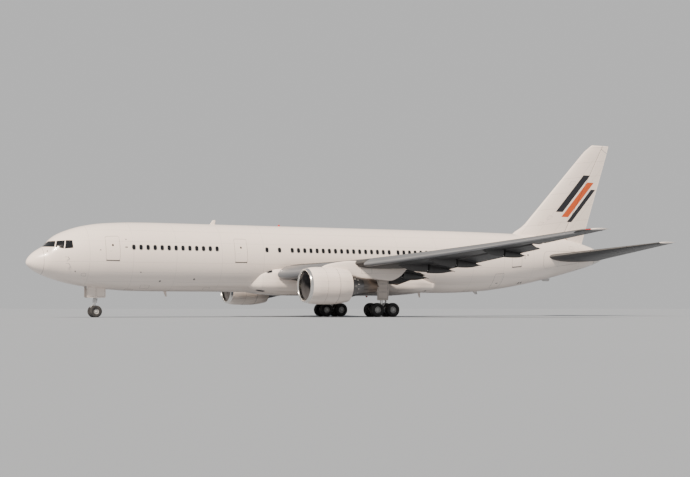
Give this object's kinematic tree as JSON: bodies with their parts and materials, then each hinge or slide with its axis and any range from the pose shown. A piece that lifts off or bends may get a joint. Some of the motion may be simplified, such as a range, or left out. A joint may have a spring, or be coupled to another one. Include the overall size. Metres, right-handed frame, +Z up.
{
  "type": "wide body twin engine airliner, half scale model",
  "caption": "Wide body airliner on its landing gear, take-off flap set, with turning wheels and fans, steered nose gear and hinged control surfaces; half scale model.",
  "frame": {"origin": "on the ground under the middle of the airliner's length", "axes": "+Z up, nose towards -Y, port side towards +X"},
  "size_m": [23.785, 27.47, 7.925],
  "materials": {
    "white_paint": "gloss white",
    "grey_paint": "satin grey",
    "polished_metal": "polished",
    "core_metal": "brushed",
    "hot_metal": "heat tinted",
    "dark_metal": "satin",
    "cockpit_glass": "dark glass",
    "tyre": "matte",
    "gear_steel": "satin light grey"
  },
  "bodies": {
    "airframe": {"radome": "white_paint", "tail_cone": "white_paint", "wing_body_fairing": "white_paint", "fin": "white_paint", "tailplane_left": "grey_paint", "tailplane_right": "grey_paint", "cockpit_windows_left": "cockpit_glass", "cockpit_windows_right": "cockpit_glass", "fuselage": "white_paint", "slat_inboard_left": "polished_metal", "slat_inboard_right": "polished_metal", "slat_outboard_left": "polished_metal", "slat_outboard_right": "polished_metal", "wing_left": "grey_paint", "wing_right": "grey_paint", "inlet_cowl_left": "polished_metal", "inlet_cowl_right": "polished_metal", "fan_cowl_left": "white_paint", "fan_cowl_right": "white_paint", "core_cowl_left": "core_metal", "core_cowl_right": "core_metal", "exhaust_nozzle_left": "hot_metal", "exhaust_nozzle_right": "hot_metal", "engine_core_left": "dark_metal", "engine_core_right": "dark_metal", "pylon_left": "white_paint", "pylon_right": "white_paint", "main_gear_leg_left": "gear_steel", "main_gear_leg_right": "gear_steel", "main_gear_bogie_left": "gear_steel", "main_gear_bogie_right": "gear_steel", "main_gear_door_left": "white_paint", "main_gear_door_right": "white_paint", "nose_gear_leg": "gear_steel", "nose_gear_door_left": "white_paint", "nose_gear_door_right": "white_paint"},
    "nose_steering": {"nose_gear_steering": "gear_steel"},
    "nose_wheels": {"nose_wheels": "tyre"},
    "main_wheels_front_left": {"main_wheels_front_left": "tyre"},
    "main_wheels_rear_left": {"main_wheels_rear_left": "tyre"},
    "main_wheels_front_right": {"main_wheels_front_right": "tyre"},
    "main_wheels_rear_right": {"main_wheels_rear_right": "tyre"},
    "fan_left": {"fan_left": "dark_metal"},
    "fan_right": {"fan_right": "dark_metal"},
    "rudder": {"rudder": "white_paint"},
    "elevator_left": {"elevator_left": "grey_paint"},
    "elevator_right": {"elevator_right": "grey_paint"},
    "aileron_inboard_left": {"aileron_inboard_left": "grey_paint"},
    "aileron_inboard_right": {"aileron_inboard_right": "grey_paint"},
    "aileron_outboard_left": {"aileron_outboard_left": "grey_paint"},
    "aileron_outboard_right": {"aileron_outboard_right": "grey_paint"},
    "flap_inboard_left": {"flap_inboard_left": "grey_paint"},
    "flap_inboard_right": {"flap_inboard_right": "grey_paint"},
    "flap_outboard_left": {"flap_outboard_left": "grey_paint"},
    "flap_outboard_right": {"flap_outboard_right": "grey_paint"},
    "spoiler_inboard_left": {"spoiler_inboard_left": "grey_paint"},
    "spoiler_inboard_right": {"spoiler_inboard_right": "grey_paint"},
    "spoiler_outboard_left": {"spoiler_outboard_left": "grey_paint"},
    "spoiler_outboard_right": {"spoiler_outboard_right": "grey_paint"}
  },
  "joints": [
    {"name": "nose_steering", "type": "hinge", "parent": "airframe", "child": "nose_steering", "pos_m": [0, -11.035, 0.23048], "axis": [0, 0, 1], "range_deg": [-65, 65]},
    {"name": "nose_wheels_spin", "type": "hinge", "parent": "nose_steering", "child": "nose_wheels", "pos_m": [0, -11.035, 0.23048], "axis": [1, 0, 0], "continuous": true},
    {"name": "main_wheels_front_left_spin", "type": "hinge", "parent": "airframe", "child": "main_wheels_front_left", "pos_m": [2.325, -0.04, 0.28639], "axis": [1, 0, 0], "continuous": true},
    {"name": "main_wheels_rear_left_spin", "type": "hinge", "parent": "airframe", "child": "main_wheels_rear_left", "pos_m": [2.325, 0.67, 0.28639], "axis": [1, 0, 0], "continuous": true},
    {"name": "main_wheels_front_right_spin", "type": "hinge", "parent": "airframe", "child": "main_wheels_front_right", "pos_m": [-2.325, -0.04, 0.28639], "axis": [1, 0, 0], "continuous": true},
    {"name": "main_wheels_rear_right_spin", "type": "hinge", "parent": "airframe", "child": "main_wheels_rear_right", "pos_m": [-2.325, 0.67, 0.28639], "axis": [1, 0, 0], "continuous": true},
    {"name": "fan_left_spin", "type": "hinge", "parent": "airframe", "child": "fan_left", "pos_m": [3.96, -3.375, 1.225], "axis": [0, 1, 0], "continuous": true},
    {"name": "fan_right_spin", "type": "hinge", "parent": "airframe", "child": "fan_right", "pos_m": [-3.96, -3.375, 1.225], "axis": [0, 1, 0], "continuous": true},
    {"name": "rudder_hinge", "type": "hinge", "parent": "airframe", "child": "rudder", "pos_m": [0, 10.965, 3.66], "axis": [0, 0.4861, 0.8739], "range_deg": [-26, 26]},
    {"name": "elevator_left_hinge", "type": "hinge", "parent": "airframe", "child": "elevator_left", "pos_m": [0.875, 12.14, 2.64562], "axis": [0.9412, 0.3049, 0.1459], "range_deg": [-20.5, 28.5]},
    {"name": "elevator_right_hinge", "type": "hinge", "parent": "airframe", "child": "elevator_right", "pos_m": [-0.875, 12.14, 2.64562], "axis": [0.9412, -0.3049, -0.1459], "range_deg": [-20.5, 28.5]},
    {"name": "aileron_inboard_left_hinge", "type": "hinge", "parent": "airframe", "child": "aileron_inboard_left", "pos_m": [3.65, 1.015, 1.98985], "axis": [0.9854, 0.0428, 0.1645], "range_deg": [-20, 20]},
    {"name": "aileron_inboard_right_hinge", "type": "hinge", "parent": "airframe", "child": "aileron_inboard_right", "pos_m": [-3.65, 1.015, 1.98985], "axis": [0.9854, -0.0428, -0.1645], "range_deg": [-20, 20]},
    {"name": "aileron_outboard_left_hinge", "type": "hinge", "parent": "airframe", "child": "aileron_outboard_left", "pos_m": [9.375, 3.185, 2.84507], "axis": [0.9154, 0.3757, 0.1448], "range_deg": [-15, 30]},
    {"name": "aileron_outboard_right_hinge", "type": "hinge", "parent": "airframe", "child": "aileron_outboard_right", "pos_m": [-9.375, 3.185, 2.84507], "axis": [0.9154, -0.3757, -0.1448], "range_deg": [-15, 30]},
    {"name": "flap_inboard_left_hinge", "type": "hinge", "parent": "airframe", "child": "flap_inboard_left", "pos_m": [1.39393, 0.49505, 1.27049], "axis": [-0.9835, -0.0228, -0.1795], "range_deg": [-12, 18]},
    {"name": "flap_inboard_right_hinge", "type": "hinge", "parent": "airframe", "child": "flap_inboard_right", "pos_m": [-1.39393, 0.49505, 1.27049], "axis": [-0.9835, 0.0228, 0.1795], "range_deg": [-12, 18]},
    {"name": "flap_outboard_left_hinge", "type": "hinge", "parent": "airframe", "child": "flap_outboard_left", "pos_m": [4.69287, 0.75614, 1.83347], "axis": [-0.9077, -0.3952, -0.1413], "range_deg": [-12, 18]},
    {"name": "flap_outboard_right_hinge", "type": "hinge", "parent": "airframe", "child": "flap_outboard_right", "pos_m": [-4.69287, 0.75614, 1.83347], "axis": [-0.9077, 0.3952, 0.1413], "range_deg": [-12, 18]},
    {"name": "spoiler_inboard_left_hinge", "type": "hinge", "parent": "airframe", "child": "spoiler_inboard_left", "pos_m": [1.55, 0.54, 1.80221], "axis": [0.9873, 0.0263, 0.1566], "range_deg": [0, 60]},
    {"name": "spoiler_inboard_right_hinge", "type": "hinge", "parent": "airframe", "child": "spoiler_inboard_right", "pos_m": [-1.55, 0.54, 1.80221], "axis": [0.9873, -0.0263, -0.1566], "range_deg": [0, 60]},
    {"name": "spoiler_outboard_left_hinge", "type": "hinge", "parent": "airframe", "child": "spoiler_outboard_left", "pos_m": [4.8, 0.865, 2.30063], "axis": [0.91, 0.3965, 0.1215], "range_deg": [0, 60]},
    {"name": "spoiler_outboard_right_hinge", "type": "hinge", "parent": "airframe", "child": "spoiler_outboard_right", "pos_m": [-4.8, 0.865, 2.30063], "axis": [0.91, -0.3965, -0.1215], "range_deg": [0, 60]}
  ],
  "couplings": [
    {"joint": "flap_inboard_right_hinge", "follows": "flap_inboard_left_hinge", "ratio": 1},
    {"joint": "flap_outboard_left_hinge", "follows": "flap_inboard_left_hinge", "ratio": 1},
    {"joint": "flap_outboard_right_hinge", "follows": "flap_inboard_left_hinge", "ratio": 1},
    {"joint": "elevator_right_hinge", "follows": "elevator_left_hinge", "ratio": 1}
  ]
}
